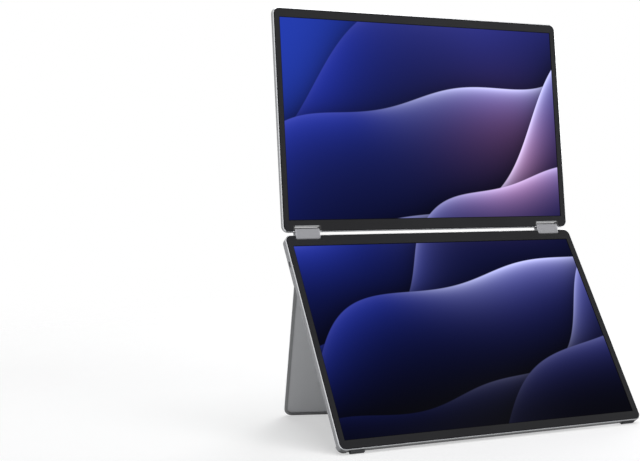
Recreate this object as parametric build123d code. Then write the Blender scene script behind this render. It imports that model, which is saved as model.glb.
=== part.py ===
from build123d import *
import math
import os

# Dual portable monitor, in millimetres and degrees.
# Each unit is drawn flat: X to the right, Y up the screen, Z out of the screen, front face at Z = 0.

# Pose in which the monitor stands on a table, as leans back from upright
lower_lean = 33.7
upper_lean = 6.6

# Screen, and the borders round it that make the outline of both units
screen_width = 301.5
screen_height = 188.5
side_border = 6.25
outer_border = 8.5
hinge_border = 11.0

# Covers
unit_corner = 6.2
lower_thickness = 8.0
upper_thickness = 5.2
rim = 1.3
rim_lip = 0.65
back_edge = 1.1
front_edge = 0.55
cover_floor = 1.0
overrun = 5.0

# Bezel, panel and the sheet behind it
bezel_edge_gap = 0.1
bezel_gap = 0.25
bezel_lip = 0.5
bezel_rib = 0.9
panel_margin = 3.0
panel_thickness = 1.4
panel_gap = 0.15
sheet_thickness = 0.5
sheet_bar = 24.0

# Links between the two units
axis_distance = 7.8
axis_inset = 1.7
link_width = 24.5
link_side_inset = 12.0
link_radius = 2.7
link_gap = 0.5
cap_thickness = 1.2
cap_border = 0.6
cap_gap = 0.05

# Shafts, leaves and the gears inside the links
shaft_radius = 1.0
shaft_gap = 0.05
channel_gap = 0.25
leaf_length = 22.0
leaf_width = 7.6
leaf_thickness = 1.0
leaf_gap = 0.2
spigot_width = 1.1
press_gap = 0.01
gear_teeth = 10
gear_width = 4.0
gear_end_gap = 0.3
gear_chamber_gap = 0.25
idler_pin_radius = 0.5
idler_pin_gap = 0.05
idler_pin_sides = 12
addendum_share = 0.75
dedendum_share = 1.1
tip_width_share = 0.32
root_width_share = 0.48
idler_shares = (1 / 3, 2 / 3)
half_pitch_share = 0.5

# Screws and the bosses that they go into
screw_radius = 0.7
screw_head_radius = 1.4
screw_head_height = 0.5
screw_hole_gap = 0.06
screw_bite = 1.0
screw_sides = 6
boss_radius = 1.9
boss_height = 0.4

# Kickstand, hinged along a slanting line on the back of the lower unit
stand_slope = 15.5
stand_axis_height = 115.0
stand_right_inset = 19.7
stand_thickness = 2.4
stand_gap = 0.3
stand_lift = 0.2
stand_top_corner = 11.0
stand_side_corner = 1.0
stand_low_corner = 8.0
stand_toe_corner = 1.5
stand_low_edge = 0.3
stand_edge = 0.35
stand_band = 5.5
stand_band_drop = 0.6
stand_border = 2.6
stand_pocket = 0.7
recess_floor = 0.9

# Knuckles and pins of the kickstand
knuckle_length = 24.0
knuckle_shares = (0.17, 0.83)
knuckle_gap = 0.3
knuckle_leaf = 9.0
knuckle_leaf_thickness = 1.0
knuckle_screw_inset = 3.2
knuckle_screw_spacing = 14.0
stand_pin_radius = 0.6
stand_pin_reach = 8.0
stand_pin_gap = 0.05
stand_bore_spare = 0.5

# Rubber that the monitor stands on
foot_length = 13.0
foot_width = 4.0
foot_height = 1.1
foot_flat = 1.0
foot_right_inset = 7.0
foot_left_inset = 10.0
foot_setback = 0.2
foot_round = 0.5
strip_width = 1.6
strip_depth = 2.4
strip_end_inset = 9.0

# Main board and its sockets on the right side of the lower unit
board_width = 36.2
board_height = 71.0
board_from_hinge = 9.0
board_thickness = 1.0
board_edge_gap = 1.5
usb_from_hinge = (18.0, 35.0, 52.0)
usb_length = 8.94
usb_height = 3.16
usb_depth = 8.5
usb_tongue_length = 6.7
hdmi_from_hinge = 70.0
hdmi_length = 11.2
hdmi_height = 3.16
hdmi_depth = 8.0
hdmi_tongue_length = 9.0
hdmi_chamfer = 1.0
socket_wall = 0.3
socket_back = 0.8
socket_setback = 0.4
socket_gap = 0.12
tongue_thickness = 0.7
tongue_setback = 1.2
chip_height = 0.9

# Keys on the same side, with the small board behind them
key_depth = 4.0
power_from_hinge = 96.5
jog_from_hinge = 112.0
select_from_hinge = 127.3
key_length = 10.4
key_width = 2.6
key_proud = 0.4
key_gap = 0.12
key_flange = 0.9
key_flange_thickness = 0.8
key_rest_gap = 0.08
key_stem_width = 1.6
key_stem_gap = 0.5
switch_length = 3.0
switch_height = 1.2
key_board_thickness = 0.8
key_board_setback = 6.6
key_board_end = 3.0
jog_slot_length = 10.6
jog_slot_width = 2.3
jog_length = 9.6
jog_width = 1.8
jog_thickness = 1.0
jog_sink = 0.35
jog_nub_length = 3.2
jog_nub_height = 0.9
jog_pin_radius = 0.5
jog_pin_gap = 0.05
jog_hub_width = 2.2
jog_pivot_setback = 3.2
jog_ear_thickness = 0.45
jog_ear_gap = 0.2
jog_ear_length = 4.4

# Slot for a cable lock on the left side of the lower unit
lock_from_hinge = 28.0
lock_length = 6.0
lock_width = 2.2

# Driver board in the upper unit
driver_width = 120.0
driver_height = 24.0
driver_thickness = 0.6
driver_from_hinge = 16.0
driver_chip_height = 0.7

# Sizes that follow
unit_width = screen_width + 2 * side_border
unit_height = outer_border + screen_height + hinge_border
screen_back = -bezel_lip
panel_back = screen_back - panel_thickness
sheet_back = panel_back - sheet_thickness
panel_from_hinge = hinge_border - panel_margin
link_centre = unit_width / 2 - link_side_inset - link_width / 2
link_lean = (lower_lean + upper_lean) / 2
link_rise = math.radians(lower_lean + upper_lean) / 2
stand_radius = stand_thickness / 2
side_wall = unit_width / 2 - rim
stand_right_edge = unit_width / 2 - stand_right_inset


class Unit:
    """What differs between the two units: thickness, and the end at which the hinges are."""

    def __init__(self, thickness, hinge_edge, inward):
        self.thickness = thickness
        self.hinge_edge = hinge_edge
        self.inward = inward
        self.axis_level = -thickness / 2
        self.inner_floor = -thickness + cover_floor

    def away(self, distance):
        """Height at a distance from the hinge edge, into the unit."""
        return self.hinge_edge + self.inward * distance


lower = Unit(lower_thickness, unit_height, -1)
upper = Unit(upper_thickness, 0, 1)


# Shared shapes

def slab(left, right, bottom, top, back, front, corner=0):
    """A flat piece between the given limits, with round corners as the screen is seen."""
    low, high = sorted((bottom, top))
    width = right - left
    if corner:
        outline = RectangleRounded(width, high - low, corner)
    else:
        outline = Rectangle(width, high - low)
    return Pos((left + right) / 2, (low + high) / 2, back) * extrude(outline, front - back)


def post(x, y, radius, back, front):
    """A round post that stands on the depth axis."""
    return Pos(x, y, back) * extrude(Circle(radius), front - back)


def screw_post(x, y, radius, back, front):
    """A post with the few flat sides of the small fasteners and their bosses."""
    outline = RegularPolygon(radius, screw_sides)
    return Pos(x, y, back) * extrude(outline, front - back)


def bar(radius, left, right, y, z):
    """A round bar along X."""
    return Plane.YZ.offset(left) * Pos(y, z) * extrude(Circle(radius), right - left)


def side_prism(outline, left, right, y, z):
    """An outline in the side view (Y across, Z up) pulled out along X."""
    return Plane.YZ.offset(left) * Pos(y, z) * extrude(outline, right - left)


def both_sides(shape):
    """A shape on the right, and its mirror image on the left."""
    return [mirror(shape, Plane.YZ), shape]


def cut_all(shape, tools):
    """Takes each of the tools away from the shape."""
    for tool in tools:
        shape = shape - tool
    return shape


def add_all(shape, additions):
    """Fuses each of the additions to the shape."""
    for addition in additions:
        shape = shape + addition
    return shape


# Pieces that both units have

def unit_blank(inset, back, front):
    """The outline of a unit, drawn in by an inset, between two depths."""
    half = unit_width / 2 - inset
    return slab(-half, half, inset, unit_height - inset, back, front, unit_corner - inset)


def notches(unit, grow, back, front):
    """The two gaps in the hinge edge in which the links turn, grown by a margin."""
    half = link_width / 2 + link_gap + grow
    depth = unit.away(axis_inset + link_radius + link_gap + grow)
    mouth = unit.away(-overrun)
    return both_sides(slab(link_centre - half, link_centre + half, mouth, depth, back, front))


leaf_outer = link_centre - link_width / 2 - link_gap - rim - leaf_gap
leaf_inner = leaf_outer - leaf_length
leaf_screws_x = (leaf_inner + leaf_length / 4, leaf_outer - leaf_length / 4)
leaf_screw_from_hinge = panel_from_hinge - panel_gap - screw_head_radius


def leaf_bosses(unit):
    """Bosses under the hinge leaves, from the floor of the cover to the leaf."""
    leaf_back = unit.axis_level - leaf_thickness
    bosses = []
    for x in leaf_screws_x:
        place = unit.away(leaf_screw_from_hinge)
        boss = screw_post(x, place, boss_radius, unit.inner_floor, leaf_back)
        bosses += both_sides(boss)
    return bosses


def leaf_screw_holes(unit):
    """Blind holes for the screws of the hinge leaves."""
    leaf_back = unit.axis_level - leaf_thickness
    holes = []
    for x in leaf_screws_x:
        place = unit.away(leaf_screw_from_hinge)
        hole = screw_post(x, place, screw_radius + screw_hole_gap, leaf_back - screw_bite, leaf_back)
        holes += both_sides(hole)
    return holes


def screw(x, y, seat, grip):
    """A small pan-head screw: the head sits on the seat, the shank goes back through the grip."""
    head = screw_post(x, y, screw_head_radius, seat, seat + screw_head_height)
    shank = screw_post(x, y, screw_radius, seat - grip - screw_bite + screw_hole_gap, seat)
    return head + shank


def leaf_screws(unit):
    """The four screws that hold the two hinge leaves of a unit."""
    screws = []
    for x in leaf_screws_x:
        one = screw(x, unit.away(leaf_screw_from_hinge), unit.axis_level, leaf_thickness)
        screws += both_sides(one)
    return screws


def shaft_channels(unit):
    """Square channels that clear the shafts along the hinge edge and through the notch walls."""
    width = 2 * (shaft_radius + channel_gap)
    left = leaf_inner - leaf_gap
    right = link_centre - link_width / 2
    channel = side_prism(Rectangle(width, width), left, right, unit.away(axis_inset), unit.axis_level)
    return both_sides(channel)


def cover_blank(unit):
    """A unit's outer form: round corners and bevelled edges at the back and the front."""
    blank = unit_blank(0, -unit.thickness, 0)
    blank = chamfer(blank.faces().sort_by(Axis.Z)[0].edges(), back_edge)
    return chamfer(blank.faces().sort_by(Axis.Z)[-1].edges(), front_edge)


def cover_cavity(unit):
    """The hollow of a cover, with walls kept round the notches."""
    cavity = unit_blank(rim, unit.inner_floor, overrun)
    return cut_all(cavity, notches(unit, rim, -unit.thickness, overrun))


def bezel_seat(unit, kept_wall):
    """The step inside the rim that the bezel lies on, with a wall kept round the notches."""
    seat = unit_blank(rim_lip, screen_back, overrun)
    return cut_all(seat, notches(unit, kept_wall, -unit.thickness, overrun))


def bezel(unit, notch_grow):
    """The dark frame round a screen, with a lip over the panel and a rib round it."""
    frame = unit_blank(rim_lip + bezel_edge_gap, screen_back, 0)
    rib = unit_blank(rim + bezel_gap, screen_back - bezel_rib, screen_back)
    rib = rib - panel_outline(unit, panel_gap, screen_back - bezel_rib, screen_back)
    rib = cut_all(rib, notches(unit, rim + bezel_gap, -unit.thickness, overrun))
    low = unit.away(hinge_border)
    high = unit.away(hinge_border + screen_height)
    half = screen_width / 2
    window = slab(-half, half, low, high, screen_back, overrun)
    return cut_all(frame + rib - window, notches(unit, notch_grow, -unit.thickness, overrun))


def panel_outline(unit, grow, back, front):
    """The outline of the display module, grown by a margin."""
    half = screen_width / 2 + panel_margin + grow
    low = unit.away(panel_from_hinge - grow)
    high = unit.away(hinge_border + screen_height + panel_margin + grow)
    return slab(-half, half, low, high, back, front)


def display(unit):
    """The display module with its cover glass."""
    return panel_outline(unit, 0, panel_back, screen_back)


def support_sheet(unit):
    """The stiffening sheet behind the panel, opened up between its bars."""
    sheet = panel_outline(unit, 0, sheet_back, panel_back)
    pitch = (screen_width - sheet_bar) / 3
    for place in (-1, 0, 1):
        middle = place * pitch
        left = middle - (pitch - sheet_bar) / 2
        right = middle + (pitch - sheet_bar) / 2
        low = unit.away(hinge_border + sheet_bar)
        high = unit.away(hinge_border + screen_height - sheet_bar)
        sheet = sheet - slab(left, right, low, high, sheet_back, panel_back)
    return sheet


def hinge_leaf(unit):
    """A steel leaf with its shaft, on the right: the shaft runs through the link to the pinion."""
    y = unit.away(axis_inset)
    edge = unit.away(axis_inset + leaf_width)
    level = unit.axis_level
    leaf = slab(leaf_inner, leaf_outer, y, edge, level - leaf_thickness, level)
    chamber_floor = link_centre + link_width / 2 - cap_thickness - chamber_depth
    leaf = leaf + bar(shaft_radius, leaf_inner, chamber_floor, y, level)
    spigot = Rectangle(spigot_width, spigot_width)
    spigot_end = chamber_floor + gear_end_gap + gear_width
    leaf = leaf + side_prism(spigot, chamber_floor, spigot_end, y, level)
    for x in leaf_screws_x:
        hole_y = unit.away(leaf_screw_from_hinge)
        leaf = leaf - screw_post(x, hole_y, screw_radius + screw_hole_gap, level - leaf_thickness, level)
    return leaf


# Links and gears, drawn with the lower axis at the origin and the upper axis above it

gear_radius = axis_distance / 6
gear_module = 2 * gear_radius / gear_teeth
gear_tip = gear_radius + addendum_share * gear_module
gear_root = gear_radius - dedendum_share * gear_module
chamber_depth = gear_width + 2 * gear_end_gap


def gear_outline(phase):
    """Straight-sided teeth round a root circle, turned by a part of the tooth pitch."""
    pitch = 360 / gear_teeth
    tip_half = tip_width_share * pitch / 2 * gear_radius / gear_tip
    root_half = root_width_share * pitch / 2 * gear_radius / gear_root
    points = []
    for tooth in range(gear_teeth):
        middle = (tooth + phase) * pitch
        corners = (
            (gear_root, middle - root_half),
            (gear_tip, middle - tip_half),
            (gear_tip, middle + tip_half),
            (gear_root, middle + root_half),
        )
        for radius, angle in corners:
            turn = math.radians(angle)
            points.append((radius * math.cos(turn), radius * math.sin(turn)))
    return Polygon(*points, align=None)


gear_left = link_centre + link_width / 2 - cap_thickness - gear_end_gap - gear_width


def gear(place, phase, bore):
    """One gear of the train on the right, at a share of the way from axis to axis."""
    outline = gear_outline(phase) - bore
    return side_prism(outline, gear_left, gear_left + gear_width, place * axis_distance, 0)


def pinion_bore(lean_to_link):
    """The square hole of a pinion, turned as its leaf stands to the link."""
    width = spigot_width + 2 * press_gap
    return Rot(0, 0, lean_to_link) * Rectangle(width, width)


def idler_bore():
    """The hole in which an idler turns on its pin, with flat sides that clear the pin all round."""
    return RegularPolygon(idler_pin_radius + idler_pin_gap, idler_pin_sides, major_radius=False)


def link_outline(radius):
    """A long round-ended outline from axis to axis."""
    return Pos(axis_distance / 2, 0) * SlotCenterToCenter(axis_distance, 2 * radius)


def chamber_outline(radius):
    """A long eight-sided outline from axis to axis, with flats at a radius from the axes."""
    short = radius * math.tan(math.radians(180 / 8))
    far = axis_distance
    points = (
        (-radius, -short),
        (-short, -radius),
        (far + short, -radius),
        (far + radius, -short),
        (far + radius, short),
        (far + short, radius),
        (-short, radius),
        (-radius, short),
    )
    return Polygon(*points, align=None)


def link_block():
    """The link on the right: bored for both shafts, with a gear chamber at its outer end."""
    left = link_centre - link_width / 2
    right = link_centre + link_width / 2
    block = side_prism(link_outline(link_radius), left, right, 0, 0)
    cap_seat = right - cap_thickness
    chamber_floor = cap_seat - chamber_depth
    chamber = chamber_outline(gear_tip + gear_chamber_gap)
    block = block - side_prism(chamber, chamber_floor, cap_seat, 0, 0)
    block = block - side_prism(chamber_outline(link_radius - cap_border), cap_seat, right, 0, 0)
    for y in (0, axis_distance):
        block = block - bar(shaft_radius + shaft_gap, left, chamber_floor, y, 0)
    for share in idler_shares:
        outline = RegularPolygon(idler_pin_radius, idler_pin_sides)
        pin = side_prism(outline, chamber_floor, cap_seat, share * axis_distance, 0)
        block = block + pin
    return block


def link_cap():
    """The plate that closes the gear chamber of the link on the right."""
    right = link_centre + link_width / 2
    outline = chamber_outline(link_radius - cap_border - cap_gap)
    return side_prism(outline, right - cap_thickness, right, 0, 0)


# Kickstand frame: X along the hinge axis towards the right, Y up the back of the unit, Z to the screen

slope = math.radians(stand_slope)
stand_axis_level = -lower_thickness + stand_radius
stand_frame = Plane(
    origin=(0, stand_axis_height, stand_axis_level),
    x_dir=(math.cos(slope), -math.sin(slope), 0),
    z_dir=(0, 0, 1),
)
stand_end_right = stand_right_edge / math.cos(slope)
stand_end_left = -unit_width / 2 / math.cos(slope)
knuckle_places = []
for knuckle_share in knuckle_shares:
    knuckle_places.append(stand_end_left + knuckle_share * (stand_end_right - stand_end_left))

# The stand opens until its lower edge lies flat on the table
lean = math.radians(lower_lean)
stand_open = 2 * math.degrees(math.atan(math.tan(lean) / math.cos(slope)))
stand_turn = stand_frame.location * Rot(stand_open, 0, 0) * stand_frame.location.inverse()

# Table level below the front bottom edge, set by the flat on the back edge of a foot
foot_back = -lower_thickness + back_edge
foot_corner_level = -foot_height * math.cos(lean) + foot_back * math.sin(lean)
foot_cut = foot_flat * math.sin(lean) * math.cos(lean)
table_level = foot_corner_level + foot_cut
table_plane = Plane(
    origin=(0, table_level / math.cos(lean), 0),
    x_dir=(1, 0, 0),
    z_dir=(0, math.cos(lean), math.sin(lean)),
)


def box_in(frame, left, right, bottom, top, back, front):
    """A plain block between limits in a given frame."""
    return frame.location * slab(left, right, bottom, top, back, front)


def below_table():
    """A block under the table plane, in the frame of the lower unit."""
    return box_in(table_plane, -unit_width, unit_width, -unit_height, unit_height, -unit_width, 0)


def stand_outline():
    """The kickstand's outline on the back of the unit, up to its rounded hinge edge."""
    rise = stand_radius / math.cos(slope)
    top_right = stand_axis_height - stand_right_edge * math.tan(slope) + rise
    top_left = stand_axis_height + unit_width / 2 * math.tan(slope) + rise
    left = -unit_width / 2
    corners = (
        ((stand_right_edge, top_right), stand_top_corner),
        ((left, top_left), stand_side_corner),
        ((left, stand_low_edge), stand_low_corner),
        ((stand_right_edge, stand_low_edge), stand_toe_corner),
    )
    outline = Polygon(*[point for point, radius in corners], align=None)
    for point, radius in corners:
        corner = outline.vertices().sort_by_distance((point[0], point[1], 0))[0]
        outline = fillet(corner, radius)
    return outline


def hinge_edge_bar():
    """A long bar with the section of the stand: a half-round edge over a flat plate."""
    section = Pos(-unit_height, 0) * Rectangle(2 * unit_height, stand_thickness)
    section = section + Circle(stand_radius)
    long_bar = Plane.YZ.offset(-unit_width) * extrude(section, 2 * unit_width)
    return stand_frame.location * long_bar


def knuckle_notches():
    """Gaps in the stand's hinge edge for the knuckles."""
    half = knuckle_length / 2 + knuckle_gap
    depth = stand_radius + knuckle_gap
    gaps = []
    for place in knuckle_places:
        left = place - half
        right = place + half
        gaps.append(box_in(stand_frame, left, right, -depth, overrun, -overrun, overrun))
    return gaps


def stand_pin(place, radius, spare):
    """A hinge pin through a knuckle and into the stand on both sides of it."""
    half = knuckle_length / 2 + stand_pin_reach + spare
    return stand_frame.location * bar(radius, place - half, place + half, 0, 0)


def strip_solid():
    """The rubber strip in the stand's lower edge, before the table cuts it."""
    left = -unit_width / 2 + strip_end_inset
    right = stand_right_edge - strip_end_inset
    half = strip_width / 2
    back = stand_axis_level - half
    front = stand_axis_level + half
    return slab(left, right, -overrun, stand_low_edge + strip_depth, back, front)


def kickstand_plate():
    """The stand, folded flat: a plate with a lowered band along its foot and a pocket inside."""
    back = -lower_thickness
    outline = stand_outline()
    plate = Pos(0, 0, back) * extrude(outline, stand_thickness)
    plate = chamfer(plate.faces().sort_by(Axis.Z)[0].edges(), stand_edge)
    plate = plate & hinge_edge_bar()
    band = Plane.YZ.offset(-unit_width) * extrude(stand_band_section(), 2 * unit_width)
    plate = plate - band
    pocket_outline = offset(outline, -stand_border, kind=Kind.INTERSECTION)
    pocket = Pos(0, 0, back + stand_thickness - stand_pocket) * extrude(pocket_outline, stand_pocket)
    plate = plate - pocket
    plate = cut_all(plate, knuckle_notches())
    for place in knuckle_places:
        plate = plate - stand_pin(place, stand_pin_radius + stand_pin_gap, stand_bore_spare)
    return plate - strip_solid()


def stand_band_section():
    """The wedge taken off the outer face along the lower edge, in the side view."""
    back = -lower_thickness
    points = (
        (stand_low_edge, back),
        (stand_low_edge + stand_band, back),
        (stand_low_edge, back + stand_band_drop),
    )
    return Polygon(*points, align=None)


def kickstand_strip():
    """The rubber strip, cut flat where it meets the table with the stand open."""
    floor_block = stand_turn.inverse() * below_table()
    return strip_solid() - floor_block


knuckle_front = stand_radius
knuckle_back = knuckle_front - knuckle_leaf_thickness
knuckle_reach = stand_radius + stand_gap + rim + knuckle_leaf
knuckle_screw_y = knuckle_reach - knuckle_screw_inset


def knuckle(place):
    """A fixed knuckle: a barrel on the hinge axis and a leaf that lies inside the cover."""
    left = place - knuckle_length / 2
    right = place + knuckle_length / 2
    barrel = stand_frame.location * bar(stand_radius, left, right, 0, 0)
    leaf = box_in(stand_frame, left, right, 0, knuckle_reach, knuckle_back, knuckle_front)
    solid = barrel + leaf
    solid = solid - stand_pin(place, stand_pin_radius + press_gap, 0)
    for x in knuckle_screw_places(place):
        radius = screw_radius + screw_hole_gap
        hole = screw_post(x, knuckle_screw_y, radius, knuckle_back, knuckle_front)
        solid = solid - stand_frame.location * hole
    return solid


def knuckle_screw_places(place):
    """Where the two screws of a knuckle are, along the hinge axis."""
    return (place - knuckle_screw_spacing / 2, place + knuckle_screw_spacing / 2)


def knuckle_screws():
    """All the screws of the kickstand knuckles."""
    screws = []
    for place in knuckle_places:
        for x in knuckle_screw_places(place):
            one = screw(x, knuckle_screw_y, knuckle_front, knuckle_leaf_thickness)
            screws.append(stand_frame.location * one)
    return screws


# Lower unit

def foot(left, back):
    """A rubber foot on the bottom edge, with a flat on its back corner for the table."""
    corner_height = (table_level - foot_cut - back * math.sin(lean)) / math.cos(lean)
    block = slab(left, left + foot_length, corner_height, 0, back, back + foot_width)
    front_edge = block.edges().filter_by(Axis.X).sort_by(Axis.Y)[:2].sort_by(Axis.Z)[-1]
    block = fillet(front_edge, foot_round)
    return block - below_table()


recess_level = -lower_thickness + stand_thickness + stand_lift


def recess(grow, front):
    """The kickstand's recess in the back of the cover, grown by a margin."""
    outline = offset(stand_outline(), stand_gap + grow, kind=Kind.ARC)
    return Pos(0, 0, -lower_thickness - overrun) * extrude(outline, front + lower_thickness + overrun)


def corner_sweep():
    """Room for the stand's thickness to turn beside the round corner of the recess."""
    radius = math.hypot(stand_radius, stand_radius) + stand_gap
    left = stand_end_right - stand_top_corner - overrun
    right = stand_end_right + stand_gap
    return stand_frame.location * bar(radius, left, right, 0, 0)


def knuckle_slots():
    """Slots in the wall of the recess that the knuckle leaves pass through."""
    slots = []
    for place in knuckle_places:
        left = place - knuckle_length / 2 - knuckle_gap
        right = place + knuckle_length / 2 + knuckle_gap
        top = stand_radius + stand_gap + rim + knuckle_gap
        front = knuckle_front + stand_lift
        slots.append(box_in(stand_frame, left, right, 0, top, knuckle_back, front))
    return slots


def knuckle_bosses():
    """Low bosses under the knuckle leaves."""
    bosses = []
    for place in knuckle_places:
        for x in knuckle_screw_places(place):
            floor = lower.inner_floor - stand_axis_level
            boss = screw_post(x, knuckle_screw_y, boss_radius, floor, knuckle_back)
            bosses.append(stand_frame.location * boss)
    return bosses


def knuckle_screw_holes():
    """Blind holes under the knuckle leaves."""
    radius = screw_radius + screw_hole_gap
    holes = []
    for place in knuckle_places:
        for x in knuckle_screw_places(place):
            hole = screw_post(x, knuckle_screw_y, radius, knuckle_back - screw_bite, knuckle_back)
            holes.append(stand_frame.location * hole)
    return holes


board_back = lower.inner_floor + boss_height
board_front = board_back + board_thickness
board_right = side_wall - board_edge_gap
board_left = board_right - board_width
board_top = lower.away(board_from_hinge)
board_bottom = board_top - board_height
usb_heights = [lower.away(distance) for distance in usb_from_hinge]
hdmi_centre = lower.away(hdmi_from_hinge)
board_screws_xy = (
    (board_left + boss_radius, board_bottom + boss_radius),
    (board_left + boss_radius, board_top - boss_radius),
    (board_right - boss_radius, (usb_heights[1] + usb_heights[2]) / 2),
)


def board_bosses():
    """Low bosses under the main board."""
    return [screw_post(x, y, boss_radius, lower.inner_floor, board_back) for x, y in board_screws_xy]


def board_screw_holes():
    """Blind holes under the main board."""
    radius = screw_radius + screw_hole_gap
    return [screw_post(x, y, radius, board_back - screw_bite, board_back) for x, y in board_screws_xy]


def main_board():
    """The main board, behind the sockets."""
    board = slab(board_left, board_right, board_bottom, board_top, board_back, board_front)
    radius = screw_radius + screw_hole_gap
    for x, y in board_screws_xy:
        board = board - screw_post(x, y, radius, board_back, board_front)
    return board


chip_shares = ((0.36, 0.42, 0.40, 0.17), (0.30, 0.70, 0.26, 0.11), (0.30, 0.16, 0.22, 0.09))


def board_chips():
    """Chips on the main board, placed and sized as shares of the board."""
    width = board_right - board_left
    height = board_top - board_bottom
    chips = []
    for x_share, y_share, width_share, height_share in chip_shares:
        x = board_left + x_share * width
        y = board_bottom + y_share * height
        half_x = width_share * width / 2
        half_y = height_share * height / 2
        front = board_front + chip_height
        chips.append(slab(x - half_x, x + half_x, y - half_y, y + half_y, board_front, front))
    return chips


def usb_outline(grow):
    """The round-ended outline of a USB-C shell, in the side view."""
    return SlotOverall(usb_length + 2 * grow, usb_height + 2 * grow)


def hdmi_outline(grow):
    """The outline of a small HDMI shell: its two back corners are cut."""
    half_length = hdmi_length / 2 + grow
    half_height = hdmi_height / 2 + grow
    points = (
        (half_length, half_height),
        (-half_length, half_height),
        (-half_length, -half_height + hdmi_chamfer),
        (-half_length + hdmi_chamfer, -half_height),
        (half_length - hdmi_chamfer, -half_height),
        (half_length, -half_height + hdmi_chamfer),
    )
    return Polygon(*points, align=None)


socket_mouth = unit_width / 2 - socket_setback
socket_level = board_front + usb_height / 2


def socket(outline, y, depth, tongue_length):
    """A metal socket shell on the board, open to the right, with its tongue."""
    back = socket_mouth - depth
    shell = side_prism(outline(0), back, socket_mouth, y, socket_level)
    shell = shell - side_prism(outline(-socket_wall), back + socket_back, socket_mouth, y, socket_level)
    tongue = Rectangle(tongue_length, tongue_thickness)
    return shell + side_prism(tongue, back + socket_back, socket_mouth - tongue_setback, y, socket_level)


def socket_openings():
    """Openings in the right wall of the cover for the sockets."""
    left = side_wall - overrun
    right = unit_width / 2 + overrun
    openings = []
    for y in usb_heights:
        openings.append(side_prism(usb_outline(socket_gap), left, right, y, socket_level))
    openings.append(side_prism(hdmi_outline(socket_gap), left, right, hdmi_centre, socket_level))
    return openings


key_level = -key_depth
power_height = lower.away(power_from_hinge)
jog_height = lower.away(jog_from_hinge)
select_height = lower.away(select_from_hinge)
key_board_left = unit_width / 2 - key_board_setback - key_board_thickness
key_board_right = key_board_left + key_board_thickness
switch_front = key_board_right + switch_height


def power_outline(grow):
    """Round-ended outline of the power button."""
    return SlotOverall(key_length + 2 * grow, key_width + 2 * grow)


def select_outline(grow):
    """Square-cornered outline of the select key."""
    return Rectangle(key_length + 2 * grow, key_width + 2 * grow)


def jog_slot_outline():
    """Round-ended slot in which the jog lever rocks."""
    return SlotOverall(jog_slot_length, jog_slot_width)


def push_key(outline, y):
    """A push key: a cap through the wall, a flange behind it and a stem to its switch."""
    flange_right = side_wall - key_rest_gap
    flange_left = flange_right - key_flange_thickness
    key = side_prism(outline(0), flange_right, unit_width / 2 + key_proud, y, key_level)
    flange = Rectangle(key_length + 2 * key_flange, key_width + 2 * key_flange)
    key = key + side_prism(flange, flange_left, flange_right, y, key_level)
    stem = Rectangle(key_stem_width, key_stem_width)
    return key + side_prism(stem, switch_front + key_stem_gap, flange_left, y, key_level)


def key_openings():
    """Openings in the right wall of the cover for the keys and the jog lever."""
    left = side_wall - overrun
    right = unit_width / 2 + overrun
    return [
        side_prism(power_outline(key_gap), left, right, power_height, key_level),
        side_prism(select_outline(key_gap), left, right, select_height, key_level),
        side_prism(jog_slot_outline(), left, right, jog_height, key_level),
    ]


def key_board():
    """The small board that stands on the floor of the cover behind the keys."""
    half = key_length / 2 + key_board_end
    low = select_height - half
    high = power_height + half
    return slab(key_board_left, key_board_right, low, high, lower.inner_floor, sheet_back)


def key_switches():
    """The tiny switches under the two push keys."""
    section = Rectangle(switch_length, switch_length)
    switches = []
    for y in (power_height, select_height):
        switches.append(side_prism(section, key_board_right, switch_front, y, key_level))
    return switches


jog_pivot_x = unit_width / 2 - jog_pivot_setback


def jog_lever():
    """The dark lever that rocks in its slot: a bar with a thumb nub and a neck on the pivot."""
    outer = unit_width / 2 - jog_sink
    thumb_bar = SlotOverall(jog_length, jog_width)
    lever = side_prism(thumb_bar, outer - jog_thickness, outer, jog_height, key_level)
    nub = Rectangle(jog_nub_length, jog_width)
    lever = lever + side_prism(nub, outer, outer + jog_nub_height, jog_height, key_level)
    back = key_level - jog_width / 2
    front = key_level + jog_width / 2
    low = jog_height - jog_hub_width / 2
    high = jog_height + jog_hub_width / 2
    hub = slab(jog_pivot_x - jog_hub_width / 2, outer - jog_thickness, low, high, back, front)
    bore = post(jog_pivot_x, jog_height, jog_pin_radius + jog_pin_gap, back, front)
    return lever + hub - bore


def jog_bracket():
    """The bracket on the key board that carries the lever: two ears with the pivot pin between."""
    low = jog_height - jog_ear_length / 2
    high = jog_height + jog_ear_length / 2
    right = jog_pivot_x + jog_hub_width / 2
    inner = jog_width / 2 + jog_ear_gap
    outer = inner + jog_ear_thickness
    base_right = key_board_right + jog_ear_thickness
    bracket = slab(key_board_right, base_right, low, high, key_level - outer, key_level + outer)
    bracket = bracket + slab(base_right, right, low, high, key_level + inner, key_level + outer)
    bracket = bracket + slab(base_right, right, low, high, key_level - outer, key_level - inner)
    return bracket + post(jog_pivot_x, jog_height, jog_pin_radius, key_level - inner, key_level + inner)


def lock_slot():
    """The cable-lock slot in the left wall."""
    outline = SlotOverall(lock_length, lock_width)
    place = lower.away(lock_from_hinge)
    return side_prism(outline, -unit_width / 2 - overrun, -side_wall, place, lower.axis_level)


def lower_rear_cover():
    """The lower cover: a tray with the kickstand recess, the notches and the side openings."""
    cavity = cover_cavity(lower) - recess(rim, recess_level + recess_floor)
    cover = cover_blank(lower) - cavity - recess(0, recess_level) - corner_sweep()
    cover = add_all(cover, leaf_bosses(lower) + knuckle_bosses() + board_bosses())
    cover = cut_all(cover, notches(lower, 0, -lower_thickness - overrun, overrun))
    cover = cut_all(cover, [bezel_seat(lower, 0)] + shaft_channels(lower) + leaf_screw_holes(lower))
    cover = cut_all(cover, knuckle_slots() + knuckle_screw_holes() + board_screw_holes())
    return cut_all(cover, socket_openings() + key_openings() + [lock_slot()])


# Upper unit

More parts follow.
